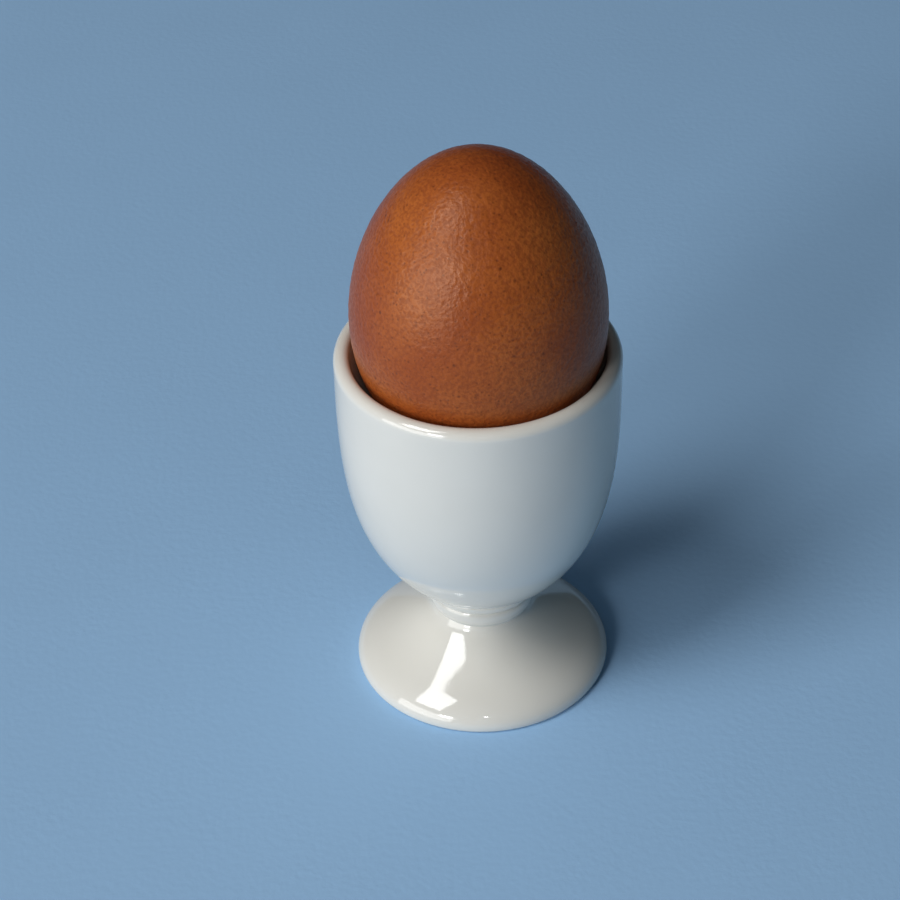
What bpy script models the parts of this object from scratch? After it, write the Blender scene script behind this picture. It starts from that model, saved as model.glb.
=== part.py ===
"""A boiled egg standing in a glazed porcelain egg cup.

Metres, +Z up. The origin is on the table, on the cup's axis, at the middle of its foot.
The cup is one turned solid: a rounded lip, a deep bowl, a ringed neck and a flared foot.
Its hollow is a rounded funnel, and the egg's broad end stands in it, narrow end up.
"""

import math

import bpy

# Cup: overall sizes
CUP_HEIGHT = 0.0690
BOWL_RADIUS = 0.0250
FOOT_RADIUS = 0.0233

# Lip: a rounded edge, broader on its outer side than on its inner side
LIP_OUTER_ROUND = 0.0017
LIP_INNER_ROUND = 0.0011

# Bowl: a superellipse that would close on the axis at BOWL_BASE
BOWL_BASE = 0.0163
BOWL_POWER = 3.3

# Hollow: a near-conical superellipse down to a rounded floor
HOLLOW_FLOOR = 0.0380
HOLLOW_POWERS = (1.13, 1.22)

# Neck: two turned rings between the bowl and the foot, as (height, radius, bead radius).
# Height and radius are those of the middle of a bead, which shows RING_ANGLE each way
NECK_RINGS = ((0.01783, 0.00935, 0.0011), (0.0149, 0.0075, 0.0022))
RING_ANGLE = math.radians(60)
NECK_RADIUS = 0.0090
NECK_BASE = 0.0129

# Foot: a flare that is almost straight, then a round to the edge. Each pair of pulls says how
# far a curve holds its first and its last direction, as a share of its drop or its width
FLARE_END_RADIUS = 0.0194
FLARE_END_HEIGHT = 0.00536
FLARE_END_SLOPE = math.radians(30)
FLARE_PULLS = (0.22, 0.34)
EDGE_PULLS = (0.61, 0.36)
EDGE_HEIGHT = 0.0011
EDGE_TURN = 0.0003

# Underside: a flat ring to stand on, round a shallow domed recess
FOOT_RING_OUTER = 0.0222
FOOT_RING_INNER = 0.0196
RECESS_WALL = 0.0006
RECESS_EDGE_HEIGHT = 0.0014
RECESS_HEIGHT = 0.0032
RECESS_BEND = (0.0140, 0.0028)
RECESS_FLAT = 0.0070

# Egg: length, half width and how much slimmer the narrow end is than the broad end
EGG_LENGTH = 0.0567
EGG_HALF_WIDTH = 0.02207
EGG_TAPER = 0.095
EGG_CENTRE_HEIGHT = 0.07880

# Turning: facets round the axis, and the gap under which a profile's end closes on it
CUP_STEPS = 48
EGG_STEPS = 48
POLE_MERGE = 0.00001


def arc(centre, radius, start, end, points):
    """Points (r, z) along an arc, its angles counted from +r towards +z."""
    angles = [start + (end - start) * i / (points - 1) for i in range(points)]
    return [(centre[0] + radius * math.cos(a), centre[1] + radius * math.sin(a)) for a in angles]


def bezier(p0, p1, p2, p3, points):
    """Points (r, z) along a cubic curve, without its first point."""
    curve = []
    for i in range(1, points + 1):
        t = i / points
        s = 1 - t
        weights = (s ** 3, 3 * s * s * t, 3 * s * t * t, t ** 3)
        curve.append(tuple(sum(w * p[k] for w, p in zip(weights, (p0, p1, p2, p3))) for k in (0, 1)))
    return curve


def hollow_profile(points=14):
    """The inside, from the middle of the floor up to the lip."""
    top = CUP_HEIGHT - LIP_INNER_ROUND
    radius = BOWL_RADIUS - LIP_OUTER_ROUND - LIP_INNER_ROUND
    fall, spread = HOLLOW_POWERS
    profile = []
    for i in range(points):
        u = math.cos(math.pi / 2 * i / points)
        profile.append((radius * (1 - u ** fall) ** (1 / spread), top - u * (top - HOLLOW_FLOOR)))
    return profile


def lip_profile():
    """Over the lip, from its inner side to its outer side."""
    crown = BOWL_RADIUS - LIP_OUTER_ROUND
    inner = arc((crown, CUP_HEIGHT - LIP_INNER_ROUND), LIP_INNER_ROUND, math.pi, math.pi / 2, 5)
    outer = arc((crown, CUP_HEIGHT - LIP_OUTER_ROUND), LIP_OUTER_ROUND, math.pi / 2, 0, 6)
    return inner + outer[1:]


def bowl_profile(points=14):
    """Down the outside of the bowl, from under the lip to the first neck ring."""
    top = CUP_HEIGHT - LIP_OUTER_ROUND
    depth = top - BOWL_BASE
    height, radius, bead = NECK_RINGS[0]
    last_radius = radius + bead * math.cos(RING_ANGLE)
    last = (1 - (last_radius / BOWL_RADIUS) ** 2) ** (1 / BOWL_POWER)
    profile = []
    for i in range(1, points + 1):
        u = last * math.sin(math.pi / 2 * i / points)
        profile.append((BOWL_RADIUS * math.sqrt(1 - u ** BOWL_POWER), top - u * depth))
    return profile


def neck_profile():
    """Down the neck: each ring is a small bead that stands out of it."""
    profile = []
    for height, radius, bead in NECK_RINGS:
        profile += arc((radius, height), bead, RING_ANGLE, -RING_ANGLE, 4)
    return profile


def foot_profile():
    """Down the flare, round the edge, and in under the foot to the axis."""
    start = (NECK_RADIUS, NECK_BASE)
    end = (FLARE_END_RADIUS, FLARE_END_HEIGHT)
    hold, reach = FLARE_PULLS[0] * (start[1] - end[1]), FLARE_PULLS[1] * (end[0] - start[0])
    lead = (end[0] - reach * math.cos(FLARE_END_SLOPE), end[1] + reach * math.sin(FLARE_END_SLOPE))
    flare = [start] + bezier(start, (start[0], start[1] - hold), lead, end, 8)

    edge_start = (FOOT_RADIUS, EDGE_HEIGHT)
    follow, above = EDGE_PULLS[0] * (FOOT_RADIUS - end[0]), EDGE_PULLS[1] * (end[1] - EDGE_HEIGHT)
    after = (end[0] + follow, end[1] - follow * math.tan(FLARE_END_SLOPE))
    edge = bezier(end, after, (FOOT_RADIUS, EDGE_HEIGHT + above), edge_start, 7)

    under_edge = (FOOT_RADIUS, EDGE_TURN)
    turn = bezier(edge_start, under_edge, (FOOT_RADIUS - EDGE_TURN, 0), (FOOT_RING_OUTER, 0), 4)
    wall = (FOOT_RING_INNER - RECESS_WALL, RECESS_EDGE_HEIGHT)
    recess = bezier(wall, RECESS_BEND, (RECESS_FLAT, RECESS_HEIGHT), (0, RECESS_HEIGHT), 5)
    return flare + edge + turn + [(FOOT_RING_INNER, 0), wall] + recess


def egg_profile(points=24):
    """The shell from the narrow end on top down to the broad end."""
    half = EGG_LENGTH / 2
    profile = []
    for i in range(points + 1):
        t = math.cos(math.pi * i / points)
        radius = EGG_HALF_WIDTH * math.sqrt(max(0.0, 1 - t * t)) * (1 - EGG_TAPER * t)
        profile.append((radius, EGG_CENTRE_HEIGHT + half * t))
    return profile


def glossy_material(name, colour, roughness):
    """A plain Principled material for one sub-part."""
    material = bpy.data.materials.new(name)
    material.use_nodes = True
    shader = material.node_tree.nodes["Principled BSDF"]
    shader.inputs["Base Color"].default_value = (*colour, 1)
    shader.inputs["Roughness"].default_value = roughness
    shader.inputs["Metallic"].default_value = 0
    return material


def turned(name, profile, steps, material, collection):
    """A solid of revolution about +Z from a profile of (r, z) points."""
    mesh = bpy.data.meshes.new(name)
    edges = [(i, i + 1) for i in range(len(profile) - 1)]
    mesh.from_pydata([(r, 0, z) for r, z in profile], edges, [])
    mesh.materials.append(material)
    solid = bpy.data.objects.new(name, mesh)
    collection.objects.link(solid)
    screw = solid.modifiers.new("Turn", "SCREW")
    screw.axis = "Z"
    screw.steps = steps
    screw.render_steps = steps
    screw.use_smooth_shade = True
    screw.use_merge_vertices = True
    screw.merge_threshold = POLE_MERGE
    return solid


def main():
    for old in list(bpy.data.objects):
        bpy.data.objects.remove(old)
    collection = bpy.data.collections.new("boiled_egg_in_egg_cup")
    bpy.context.scene.collection.children.link(collection)

    glaze = glossy_material("glazed_porcelain", (0.78, 0.78, 0.74), 0.12)
    shell = glossy_material("brown_eggshell", (0.36, 0.12, 0.045), 0.5)

    cup_profile = hollow_profile() + lip_profile() + bowl_profile() + neck_profile() + foot_profile()
    turned("egg_cup", cup_profile, CUP_STEPS, glaze, collection)
    turned("boiled_egg", egg_profile(), EGG_STEPS, shell, collection)


main()
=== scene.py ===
"""Looks for the boiled egg in its egg cup: fine meshes, glaze, eggshell, floor, light and camera.

Metres, +Z up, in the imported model's frame: the cup stands on z = 0 with its axis on Z.
"""

import math

import bpy
import numpy as np
from mathutils import Matrix, Vector, noise


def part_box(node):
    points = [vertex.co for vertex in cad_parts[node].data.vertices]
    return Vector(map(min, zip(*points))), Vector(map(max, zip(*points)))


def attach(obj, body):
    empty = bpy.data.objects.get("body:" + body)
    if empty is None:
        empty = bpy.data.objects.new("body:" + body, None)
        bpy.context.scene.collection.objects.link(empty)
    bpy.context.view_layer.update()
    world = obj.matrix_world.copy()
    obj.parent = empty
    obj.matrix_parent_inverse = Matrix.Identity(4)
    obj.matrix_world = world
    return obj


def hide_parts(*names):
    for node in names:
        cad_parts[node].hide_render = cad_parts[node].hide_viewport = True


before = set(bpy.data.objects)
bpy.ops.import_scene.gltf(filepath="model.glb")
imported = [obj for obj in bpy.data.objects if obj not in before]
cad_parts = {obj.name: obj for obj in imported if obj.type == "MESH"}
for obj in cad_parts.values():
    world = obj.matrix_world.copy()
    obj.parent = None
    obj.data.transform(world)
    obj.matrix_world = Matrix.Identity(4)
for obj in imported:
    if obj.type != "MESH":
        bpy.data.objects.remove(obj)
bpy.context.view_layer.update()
CUP_LOW, CUP_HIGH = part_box("egg_cup")
EGG_LOW, EGG_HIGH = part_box("boiled_egg")

MM = 0.001

# Cup outline, repeated from the design; its height and its widest radius come from the frame
CUP_HEIGHT = CUP_HIGH.z
BOWL_RADIUS = CUP_HIGH.x
FOOT_RADIUS = 23.3 * MM
LIP_OUTER_ROUND = 1.7 * MM
LIP_INNER_ROUND = 1.1 * MM
BOWL_BASE = 16.3 * MM
BOWL_POWER = 3.3
HOLLOW_FLOOR = 38.0 * MM
HOLLOW_POWERS = (1.13, 1.22)

# Neck: two beads as (height, radius of the bead's middle, bead radius), each shown RING_ANGLE
# degrees up and down; then the top of the flare
NECK_RINGS = ((17.83 * MM, 9.35 * MM, 1.1 * MM), (14.9 * MM, 7.5 * MM, 2.2 * MM))
RING_ANGLE = 60
NECK_RADIUS = 9.0 * MM
NECK_BASE = 12.9 * MM

# Foot: a flare that is almost straight, then a round to the edge. Each pair of pulls says how
# far a curve holds its first and its last direction, as a share of its drop or its width
FLARE_END = (19.4 * MM, 5.36 * MM)
FLARE_SLOPE = math.radians(30)
FLARE_PULLS = (0.22, 0.34)
EDGE_PULLS = (0.61, 0.36)
EDGE_HEIGHT = 1.1 * MM
EDGE_TURN = 0.3 * MM

# Underside: a flat ring to stand on, round a shallow domed recess
FOOT_RING_OUTER = 22.2 * MM
FOOT_RING_INNER = 19.6 * MM
RECESS_WALL = 0.6 * MM
RECESS_EDGE_HEIGHT = 1.4 * MM
RECESS_HEIGHT = 3.2 * MM
RECESS_BEND = (14 * MM, 2.8 * MM)
RECESS_FLAT = 7 * MM

# Fineness of the turned cup: points along each stretch of its outline, and steps round the axis
HOLLOW_POINTS = 40
LIP_POINTS = 14
BOWL_POINTS = 80
RING_POINTS = 12
FOOT_POINTS = 60
TURN_POINTS = 8
CUP_STEPS = 256
POLE_MERGE = 0.01 * MM

# Glaze: how widely it rounds the neck's corners, how many points of bowl and foot that takes in,
# and its ripples as (depth, wavelength, seed); the ring that the foot stands on has none
GLAZE_SOFTENING = 0.32 * MM
BOWL_SOFTENED = 12
FOOT_SOFTENED = 14
GLAZE_RIPPLES = ((0.030 * MM, 9 * MM, 1), (0.010 * MM, 3.5 * MM, 2))
RIPPLE_START = 0.2 * MM

# Egg: its length and height come from the frame, and it stands a little to the right of the axis
EGG_HALF_LENGTH = (EGG_HIGH.z - EGG_LOW.z) / 2
EGG_CENTRE = (EGG_HIGH.z + EGG_LOW.z) / 2
EGG_HALF_WIDTH = 22.07 * MM
EGG_TAPER = 0.095
EGG_OFFSET = 0.28 * MM
EGG_LEVELS = 7

# Shell: an uneven swell and two sizes of pebble, as (depth, wavelength, seed)
SHELL_RELIEF = ((0.07 * MM, 22 * MM, 3), (0.036 * MM, 1.3 * MM, 4), (0.040 * MM, 0.85 * MM, 5))

# Colours
SHELL_RED = (0.320, 0.064, 0.011)
SHELL_YELLOW = (0.450, 0.120, 0.024)
# Painted shade: a darker brown laid into the hollows of the shell's orange-peel relief
SHELL_HOLLOW_SHADE = (0.215, 0.040, 0.009)
SHELL_FRECKLE = (0.095, 0.020, 0.007)
SHELL_SHEEN = (1.0, 0.80, 0.64)
GLAZE_WARM = (0.795, 0.765, 0.690)
GLAZE_PALE = (0.820, 0.790, 0.715)
BARE_DARK = (0.62, 0.60, 0.55)
BARE_PALE = (0.72, 0.70, 0.65)
FLOOR_COLOUR = (0.37, 0.61, 0.90)
FLOOR_LIFT = 1.05
FLOOR_SIZE = 12

# Camera: it aims just left of the axis, a little above the middle of the bowl
AIM = Vector((-5.2 * MM, 0, 47.0 * MM))
CAMERA_FROM = Vector((0, -365.7 * MM, 327.0 * MM))
CAMERA_ROLL = math.radians(-1.43)
LENS_MM = 104.0
SENSOR_MM = 36.0
NEAREST = 0.01

# Lights, as (direction, size, watts, roll). A direction is degrees to the left of the camera and
# degrees above the floor, a size is in metres and a roll in degrees
LIGHTS = {
    "window": ((60, 55), (0.80, 1.14), 20.0, 12),
    "bright_room": ((50, 14), (2.10, 1.30), 29.0, 0),
    "doorway": ((33, 27), (0.42, 0.42), 9.0, 0),
    "small_lamp": ((-3, 42), (0.10, 0.10), 0.9, 0),
}
LIGHT_DISTANCE = 2.4
FILL_COLOUR = (0.60, 0.82, 1.0)
FILL_STRENGTH = 0.040


# ---------------------------------------------------------------- outlines

def arc(centre, radius, start, end, points):
    """Points (r, z) along an arc, its angles in degrees from +r towards +z."""
    angles = np.radians(np.linspace(start, end, points))
    return list(zip(centre[0] + radius * np.cos(angles), centre[1] + radius * np.sin(angles)))


def bezier(p0, p1, p2, p3, points):
    """Points (r, z) along a cubic curve, without its first point."""
    t = np.linspace(0, 1, points + 1)[1:, None]
    weights = ((1 - t) ** 3, 3 * t * (1 - t) ** 2, 3 * t * t * (1 - t), t ** 3)
    return [tuple(p) for p in sum(w * np.array(p) for w, p in zip(weights, (p0, p1, p2, p3)))]


def hollow_profile():
    """The inside, from the middle of the floor up to the lip."""
    top = CUP_HEIGHT - LIP_INNER_ROUND
    radius = BOWL_RADIUS - LIP_OUTER_ROUND - LIP_INNER_ROUND
    fall, spread = HOLLOW_POWERS
    u = np.cos(np.linspace(0, math.pi / 2, HOLLOW_POINTS, endpoint=False))
    return list(zip(radius * (1 - u ** fall) ** (1 / spread), top - u * (top - HOLLOW_FLOOR)))


def lip_profile():
    """Over the lip, from its inner side to its outer side."""
    crown = BOWL_RADIUS - LIP_OUTER_ROUND
    inner = arc((crown, CUP_HEIGHT - LIP_INNER_ROUND), LIP_INNER_ROUND, 180, 90, LIP_POINTS)
    outer = arc((crown, CUP_HEIGHT - LIP_OUTER_ROUND), LIP_OUTER_ROUND, 90, 0, LIP_POINTS)
    return inner + outer[1:]


def bowl_profile():
    """Down the outside of the bowl, from under the lip to the first neck ring."""
    top = CUP_HEIGHT - LIP_OUTER_ROUND
    height, radius, bead = NECK_RINGS[0]
    last_radius = radius + bead * math.cos(math.radians(RING_ANGLE))
    last = (1 - (last_radius / BOWL_RADIUS) ** 2) ** (1 / BOWL_POWER)
    u = last * np.sin(np.linspace(0, math.pi / 2, BOWL_POINTS + 1)[1:])
    return list(zip(BOWL_RADIUS * np.sqrt(1 - u ** BOWL_POWER), top - u * (top - BOWL_BASE)))


def neck_profile():
    """Down the neck: each ring is a small bead that stands out of it."""
    profile = []
    for height, radius, bead in NECK_RINGS:
        profile += arc((radius, height), bead, RING_ANGLE, -RING_ANGLE, RING_POINTS)
    return profile


def foot_profile():
    """Down the flare, round the edge, and in under the foot to the axis."""
    start = (NECK_RADIUS, NECK_BASE)
    drop = FLARE_PULLS[0] * (start[1] - FLARE_END[1])
    reach = FLARE_PULLS[1] * (FLARE_END[0] - start[0])
    bend = (start[0], start[1] - drop)
    lead = (FLARE_END[0] - reach * math.cos(FLARE_SLOPE), FLARE_END[1] + reach * math.sin(FLARE_SLOPE))
    flare = [start] + bezier(start, bend, lead, FLARE_END, FOOT_POINTS)

    edge_start = (FOOT_RADIUS, EDGE_HEIGHT)
    out = EDGE_PULLS[0] * (FOOT_RADIUS - FLARE_END[0])
    follow = (FLARE_END[0] + out, FLARE_END[1] - out * math.tan(FLARE_SLOPE))
    above = (FOOT_RADIUS, EDGE_HEIGHT + EDGE_PULLS[1] * (FLARE_END[1] - EDGE_HEIGHT))
    edge = bezier(FLARE_END, follow, above, edge_start, FOOT_POINTS // 2)

    under_edge = (FOOT_RADIUS, EDGE_TURN)
    ring_outer = (FOOT_RING_OUTER, 0)
    turn = bezier(edge_start, under_edge, (FOOT_RADIUS - EDGE_TURN, 0), ring_outer, TURN_POINTS)
    wall = (FOOT_RING_INNER - RECESS_WALL, RECESS_EDGE_HEIGHT)
    middle = (0, RECESS_HEIGHT)
    recess = bezier(wall, RECESS_BEND, (RECESS_FLAT, RECESS_HEIGHT), middle, FOOT_POINTS // 3)
    return flare + edge + turn + [(FOOT_RING_INNER, 0), wall] + recess


def softened(profile, width):
    """The profile as thick glaze leaves it: resampled evenly, then blurred over about width."""
    steps_per_width = 3
    reach = 3 * steps_per_width
    points = np.array(profile)
    along = np.concatenate([[0], np.cumsum(np.hypot(*np.diff(points, axis=0).T))])
    even = np.linspace(0, along[-1], int(along[-1] / (width / steps_per_width)))
    fine = np.stack([np.interp(even, along, points[:, k]) for k in (0, 1)], axis=1)
    spread = np.exp(-0.5 * (np.arange(-reach, reach + 1) / steps_per_width) ** 2)
    padded = np.pad(fine, ((reach, reach), (0, 0)), mode="reflect", reflect_type="odd")
    soft = [np.convolve(padded[:, k], spread / spread.sum(), mode="valid") for k in (0, 1)]
    return [tuple(p) for p in np.stack(soft, axis=1)]


# ---------------------------------------------------------------- meshes

def new_piece(name, mesh):
    piece = bpy.data.objects.new(name, mesh)
    bpy.context.scene.collection.objects.link(piece)
    return piece


def applied(piece):
    """The piece with its modifiers made part of its mesh."""
    graph = bpy.context.evaluated_depsgraph_get()
    graph.update()
    mesh = bpy.data.meshes.new_from_object(piece.evaluated_get(graph))
    piece.modifiers.clear()
    piece.data = mesh
    return piece


def vertices_of(mesh):
    co = np.empty(len(mesh.vertices) * 3)
    mesh.vertices.foreach_get("co", co)
    return co.reshape(-1, 3)


def move_vertices(mesh, co):
    mesh.vertices.foreach_set("co", co.reshape(-1))
    mesh.update()


def noise_at(points, scale, seed):
    """Smooth noise from about -1 to 1 at each point; scale is its wavelength."""
    offset = Vector((seed * 7.3, seed * 3.1, seed * 11.7))
    return np.array([noise.noise(Vector(p) / scale + offset) for p in points])


def relief(points, waves):
    """How far each point stands out, for waves given as (depth, wavelength, seed)."""
    return sum(depth * noise_at(points, scale, seed) for depth, scale, seed in waves)


def make_cup():
    """The cup, turned at full smoothness, with a slightly uneven glaze."""
    bowl, foot = bowl_profile(), foot_profile()
    neck = bowl[-BOWL_SOFTENED:] + neck_profile() + foot[:FOOT_SOFTENED]
    outside = bowl[:-BOWL_SOFTENED] + softened(neck, GLAZE_SOFTENING) + foot[FOOT_SOFTENED:]
    profile = hollow_profile() + lip_profile() + outside
    mesh = bpy.data.meshes.new("porcelain_cup")
    edges = [(i, i + 1) for i in range(len(profile) - 1)]
    mesh.from_pydata([(r, 0, z) for r, z in profile], edges, [])
    cup = new_piece("porcelain_cup", mesh)
    screw = cup.modifiers.new("Turn", "SCREW")
    screw.axis = "Z"
    screw.steps = CUP_STEPS
    screw.render_steps = CUP_STEPS
    screw.use_smooth_shade = True
    screw.use_merge_vertices = True
    screw.merge_threshold = POLE_MERGE
    applied(cup)

    co = vertices_of(cup.data)
    ripple = relief(co, GLAZE_RIPPLES)
    ripple[co[:, 2] < RIPPLE_START] = 0
    tiny = 1e-6
    radius = np.maximum(np.hypot(co[:, 0], co[:, 1]), tiny)
    co[:, 0] += ripple * co[:, 0] / radius
    co[:, 1] += ripple * co[:, 1] / radius
    move_vertices(cup.data, co)
    return cup


def make_egg():
    """The egg: an even ball of quads drawn into the egg's outline, then given the shell's relief."""
    bpy.ops.mesh.primitive_cube_add(size=2)
    egg = bpy.context.object
    egg.name = "brown_egg"
    egg.data.name = "brown_egg"
    fine = egg.modifiers.new("Fine", "SUBSURF")
    fine.subdivision_type = "SIMPLE"
    fine.levels = EGG_LEVELS
    fine.render_levels = EGG_LEVELS
    applied(egg)

    ball = np.tan(vertices_of(egg.data) * math.pi / 4)
    ball /= np.linalg.norm(ball, axis=1, keepdims=True)
    x, y, t = ball.T
    width = EGG_HALF_WIDTH * (1 - EGG_TAPER * t)
    co = np.stack([x * width, y * width, EGG_CENTRE + EGG_HALF_LENGTH * t], axis=1)

    outward = np.stack([x / EGG_HALF_WIDTH, y / EGG_HALF_WIDTH, t / EGG_HALF_LENGTH], axis=1)
    outward /= np.linalg.norm(outward, axis=1, keepdims=True)
    co += outward * relief(co, SHELL_RELIEF)[:, None]
    co[:, 0] += EGG_OFFSET
    move_vertices(egg.data, co)
    egg.data.polygons.foreach_set("use_smooth", np.ones(len(egg.data.polygons), bool))
    return egg


# ---------------------------------------------------------------- materials

def rgb(colour):
    return (*colour, 1.0)


class Nodes:
    """A material's node tree, with short calls to add and join nodes."""

    def __init__(self, name):
        self.material = bpy.data.materials.new(name)
        self.material.use_nodes = True
        self.tree = self.material.node_tree
        self.shader = self.tree.nodes["Principled BSDF"]
        self.position = self.tree.nodes.new("ShaderNodeTexCoord").outputs["Object"]

    def add(self, kind, inputs=(), **settings):
        node = self.tree.nodes.new("ShaderNode" + kind)
        for key, value in settings.items():
            setattr(node, key, value)
        for key, value in dict(inputs).items():
            self.put(node.inputs[key], value)
        return node

    def put(self, socket, value):
        if isinstance(value, bpy.types.NodeSocket):
            self.tree.links.new(value, socket)
        else:
            socket.default_value = value

    def noise(self, size, detail=2.0):
        """Noise whose features are about size across; its value runs round 0.5."""
        inputs = {"Vector": self.position, "Scale": 1 / size, "Detail": detail}
        return self.add("TexNoise", inputs).outputs["Fac"]

    def spots(self, size):
        """Distance from the nearest of scattered points, in units of size."""
        node = self.add("TexVoronoi", {"Vector": self.position, "Scale": 1 / size})
        return node.outputs["Distance"]

    def span(self, value, low, high, to_low=0.0, to_high=1.0):
        """Value mapped from low..high to to_low..to_high, held at the ends."""
        node = self.add("MapRange", {0: value, 1: low, 2: high, 3: to_low, 4: to_high})
        return node.outputs[0]

    def sum(self, a, b, operation="ADD"):
        """Two values joined by a sum, or by another operation of the Math node."""
        return self.add("Math", {0: a, 1: b}, operation=operation).outputs[0]

    def mix(self, factor, a, b):
        """From colour a at factor 0 to colour b at factor 1."""
        node = self.add("Mix", data_type="RGBA")
        for socket, value in zip((node.inputs[0], node.inputs[6], node.inputs[7]), (factor, a, b)):
            self.put(socket, value)
        return node.outputs[2]

    def bump(self, height, depth, previous=None):
        """A bump of real height depth, in metres, for a height from 0 to 1."""
        node = self.add("Bump", {"Strength": 1.0, "Distance": depth, "Height": height})
        if previous is not None:
            self.put(node.inputs["Normal"], previous)
        return node.outputs["Normal"]


def eggshell_material():
    """Brown shell: mottled and freckled, with painted shade in the hollows of its fine orange-peel
    relief, which also breaks up a low sheen.
    """
    n = Nodes("brown_eggshell")
    cloud = n.span(n.noise(17 * MM, 3), 0.32, 0.68)
    tone = n.mix(cloud, rgb(SHELL_RED), rgb(SHELL_YELLOW))
    peel = n.noise(0.60 * MM, 1.5)
    # Painted shade: the low hollows of the orange-peel relief are coloured darker brown
    tone = n.mix(n.span(peel, 0.36, 0.60, 0.50, 0.0), tone, rgb(SHELL_HOLLOW_SHADE))

    patch = n.span(n.noise(5 * MM), 0.46, 0.60)
    freckles = n.sum(n.span(n.spots(3.0 * MM), 0.05, 0.14, 1.0, 0.0), patch, "MULTIPLY")
    pores = n.span(n.spots(1.05 * MM), 0.10, 0.26, 1.0, 0.0)
    marks = n.sum(n.sum(freckles, 0.75, "MULTIPLY"), n.sum(pores, 0.46, "MULTIPLY"), "MAXIMUM")
    tone = n.mix(marks, tone, rgb(SHELL_FRECKLE))

    n.put(n.shader.inputs["Base Color"], tone)
    n.put(n.shader.inputs["Roughness"], n.span(peel, 0.3, 0.7, 0.44, 0.30))
    n.shader.inputs["Specular IOR Level"].default_value = 0.42
    n.shader.inputs["Specular Tint"].default_value = rgb(SHELL_SHEEN)
    pitted = n.bump(n.span(marks, 0.0, 1.0, 1.0, 0.0), 0.020 * MM)
    n.put(n.shader.inputs["Normal"], n.bump(peel, 0.100 * MM, pitted))
    return n.material


def glaze_material():
    """Warm white glaze over porcelain, left off the ring that the foot stands on."""
    n = Nodes("glazed_porcelain")
    height = n.add("SeparateXYZ", {0: n.position}).outputs["Z"]
    ragged = n.sum(height, n.sum(n.noise(3 * MM), 0.1 * MM, "MULTIPLY"))
    glazed = n.span(ragged, 0.20 * MM, 0.40 * MM)
    cloud = n.span(n.noise(14 * MM, 3), 0.3, 0.7)
    tone = n.mix(cloud, rgb(GLAZE_WARM), rgb(GLAZE_PALE))
    bare = n.mix(n.noise(0.5 * MM, 4), rgb(BARE_DARK), rgb(BARE_PALE))
    n.put(n.shader.inputs["Base Color"], n.mix(glazed, bare, tone))
    gloss = n.span(n.noise(2.5 * MM, 3), 0.3, 0.7, 0.05, 0.09)
    n.put(n.shader.inputs["Roughness"], n.span(glazed, 0, 1, 0.8, gloss))
    n.shader.inputs["IOR"].default_value = 1.63
    n.put(n.shader.inputs["Normal"], n.bump(n.noise(1.6 * MM, 2), 0.004 * MM))
    return n.material


def floor_material():
    """Pale blue matt paper with a fine tooth."""
    n = Nodes("pale_floor")
    lifted = [c * FLOOR_LIFT for c in FLOOR_COLOUR]
    tone = n.mix(n.noise(30 * MM, 3), rgb(FLOOR_COLOUR), rgb(lifted))
    n.put(n.shader.inputs["Base Color"], tone)
    n.shader.inputs["Roughness"].default_value = 0.85
    n.put(n.shader.inputs["Normal"], n.bump(n.noise(1.5 * MM, 3), 0.05 * MM))
    return n.material


# ---------------------------------------------------------------- stage, light and camera

def direction(left, above):
    """Unit vector towards a light: degrees left of the camera, degrees above the floor."""
    left, above = math.radians(left), math.radians(above)
    flat = math.cos(above)
    return Vector((-math.sin(left) * flat, -math.cos(left) * flat, math.sin(above)))


def add_panel(name, where, size, watts, roll):
    """A soft rectangular light that faces the foot of the bowl."""
    light = bpy.data.lights.new(name, "AREA")
    light.shape = "RECTANGLE"
    light.size, light.size_y = size
    light.energy = watts
    lamp = bpy.data.objects.new(name, light)
    bpy.context.scene.collection.objects.link(lamp)
    towards = direction(*where)
    place = Vector((0, 0, BOWL_BASE)) + towards * LIGHT_DISTANCE
    turn = towards.to_track_quat("Z", "Y").to_matrix() @ Matrix.Rotation(math.radians(roll), 3, "Z")
    lamp.matrix_world = Matrix.Translation(place) @ turn.to_4x4()


def add_fill():
    """A weak bluish light from all round."""
    world = bpy.data.worlds.new("soft_room")
    bpy.context.scene.world = world
    world.use_nodes = True
    background = world.node_tree.nodes["Background"]
    background.inputs["Color"].default_value = rgb(FILL_COLOUR)
    background.inputs["Strength"].default_value = FILL_STRENGTH


def add_floor():
    bpy.ops.mesh.primitive_plane_add(size=FLOOR_SIZE)
    floor = bpy.context.object
    floor.name = "floor"
    floor.data.materials.append(floor_material())


def add_camera():
    lens = bpy.data.cameras.new("camera")
    lens.lens = LENS_MM
    lens.sensor_width = SENSOR_MM
    lens.clip_start = NEAREST
    camera = bpy.data.objects.new("camera", lens)
    bpy.context.scene.collection.objects.link(camera)
    away = CAMERA_FROM - AIM
    turn = away.to_track_quat("Z", "Y").to_matrix() @ Matrix.Rotation(CAMERA_ROLL, 3, "Z")
    camera.matrix_world = Matrix.Translation(CAMERA_FROM) @ turn.to_4x4()
    bpy.context.scene.camera = camera


def dress(piece, material, node):
    """Gives a piece its material, hangs it under the root body, and hides the CAD node that it
    replaces.
    """
    piece.data.materials.clear()
    piece.data.materials.append(material)
    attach(piece, "root")
    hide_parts(node)


dress(make_cup(), glaze_material(), "egg_cup")
dress(make_egg(), eggshell_material(), "boiled_egg")
add_floor()
add_fill()
for light_name, settings in LIGHTS.items():
    add_panel(light_name, *settings)
add_camera()
bpy.context.scene.view_settings.view_transform = "Standard"
